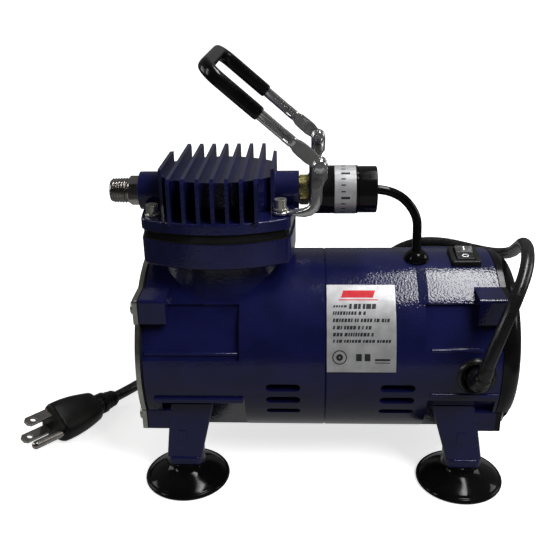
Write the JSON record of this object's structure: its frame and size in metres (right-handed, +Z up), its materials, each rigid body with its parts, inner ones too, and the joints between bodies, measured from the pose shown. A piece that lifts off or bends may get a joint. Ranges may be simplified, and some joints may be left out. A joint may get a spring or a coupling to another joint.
{
  "type": "airbrush compressor",
  "caption": "Oil-less piston air compressor for airbrushes: finned head on a round motor casing, folding handle, pressure switch, mains cord and suction feet.",
  "frame": {"origin": "On the floor, under the middle of the compressor without its cord: the middle of the box, at the feet.", "axes": "+Z up; X along the motor's axis, the air outlet at -X and the fan end at +X; -Y is the front, with the name plate and the cord's gland."},
  "size_m": [0.2774, 0.2449, 0.217],
  "materials": {
    "blue_paint": "deep blue hammer-texture enamel",
    "steel_bright": "bright machined steel",
    "zinc_steel": "zinc-plated steel",
    "chrome": "nickel-chrome plate",
    "brass": "machined brass",
    "aluminium": "die-cast aluminium",
    "black_plastic": "glossy black plastic",
    "switch_plastic": "satin black plastic",
    "silver_foil": "printed silver foil",
    "black_rubber": "glossy black rubber",
    "grip_rubber": "smooth black rubber",
    "gasket": "pressed fibre gasket",
    "cord_jacket": "soft black PVC",
    "plug_vinyl": "moulded black PVC",
    "copper": "enamelled copper wire",
    "sintered_bronze": "oil-filled bronze",
    "lamination": "laminated electrical steel",
    "piston_cup": "filled PTFE",
    "fan_plastic": "moulded nylon"
  },
  "bodies": {
    "body": {"front_housing": "blue_paint", "rear_housing": "blue_paint", "cylinder_head": "blue_paint", "crankcase_gasket": "gasket", "crankcase_cover": "aluminium", "crankcase_cover_screws": "zinc_steel", "rear_end_cover": "black_plastic", "rear_cover_screws": "zinc_steel", "motor_through_bolts": "zinc_steel", "cylinder_sleeve": "steel_bright", "cylinder_gasket": "gasket", "valve_plate": "black_plastic", "head_gasket": "gasket", "intake_reed": "steel_bright", "discharge_reed": "steel_bright", "head_washers": "zinc_steel", "head_screws": "zinc_steel", "outlet_fitting": "steel_bright", "switch_adapter": "brass", "pressure_switch_body": "black_plastic", "pressure_switch_band": "silver_foil", "pressure_switch_diaphragm": "gasket", "pressure_switch_cap": "black_plastic", "switch_cable": "cord_jacket", "cable_grommet": "black_rubber", "handle_bracket_front": "chrome", "handle_bracket_rear": "chrome", "handle_hinge_pins": "chrome", "rocker_bezel": "switch_plastic", "name_plate": "silver_foil", "stator_core": "lamination", "winding_front": "copper", "winding_rear": "copper", "front_bearing": "sintered_bronze", "rear_bearing": "sintered_bronze", "foot_studs": "zinc_steel", "suction_foot_front_left": "black_rubber", "suction_foot_front_right": "black_rubber", "suction_foot_rear_left": "black_rubber", "suction_foot_rear_right": "black_rubber", "cord_gland": "black_rubber", "power_cord": "cord_jacket", "power_cord_plug_end": "cord_jacket", "cord_coil": "cord_jacket", "cord_tie": "black_plastic", "plug_body": "plug_vinyl", "plug_blades": "steel_bright", "plug_earth_pin": "steel_bright"},
    "handle": {"handle_bail": "chrome", "handle_grip": "grip_rubber"},
    "rocker": {"rocker_button": "switch_plastic"},
    "rotor": {"motor_shaft": "steel_bright", "rotor_core": "lamination", "crank_disc": "zinc_steel", "cooling_fan": "fan_plastic"},
    "piston": {"connecting_rod": "aluminium", "crank_bearing": "steel_bright", "piston": "aluminium", "piston_cup": "piston_cup"}
  },
  "joints": [
    {"name": "handle_hinge", "type": "hinge", "parent": "body", "child": "handle", "pos_m": [0.0034, 0, 0.168], "axis": [0, 1, 0], "range_deg": [-33, 125]},
    {"name": "rocker_hinge", "type": "hinge", "parent": "body", "child": "rocker", "pos_m": [0.0784, -0.00502, 0.11224], "axis": [1, 0, 0], "range_deg": [-20, 0]},
    {"name": "rotor_spin", "type": "hinge", "parent": "body", "child": "rotor", "pos_m": [0, 0, 0.0645], "axis": [1, 0, 0], "continuous": true},
    {"name": "piston_slide", "type": "slide", "parent": "body", "child": "piston", "axis": [0, 0, 1], "range_m": [-0.016, 0]}
  ]
}
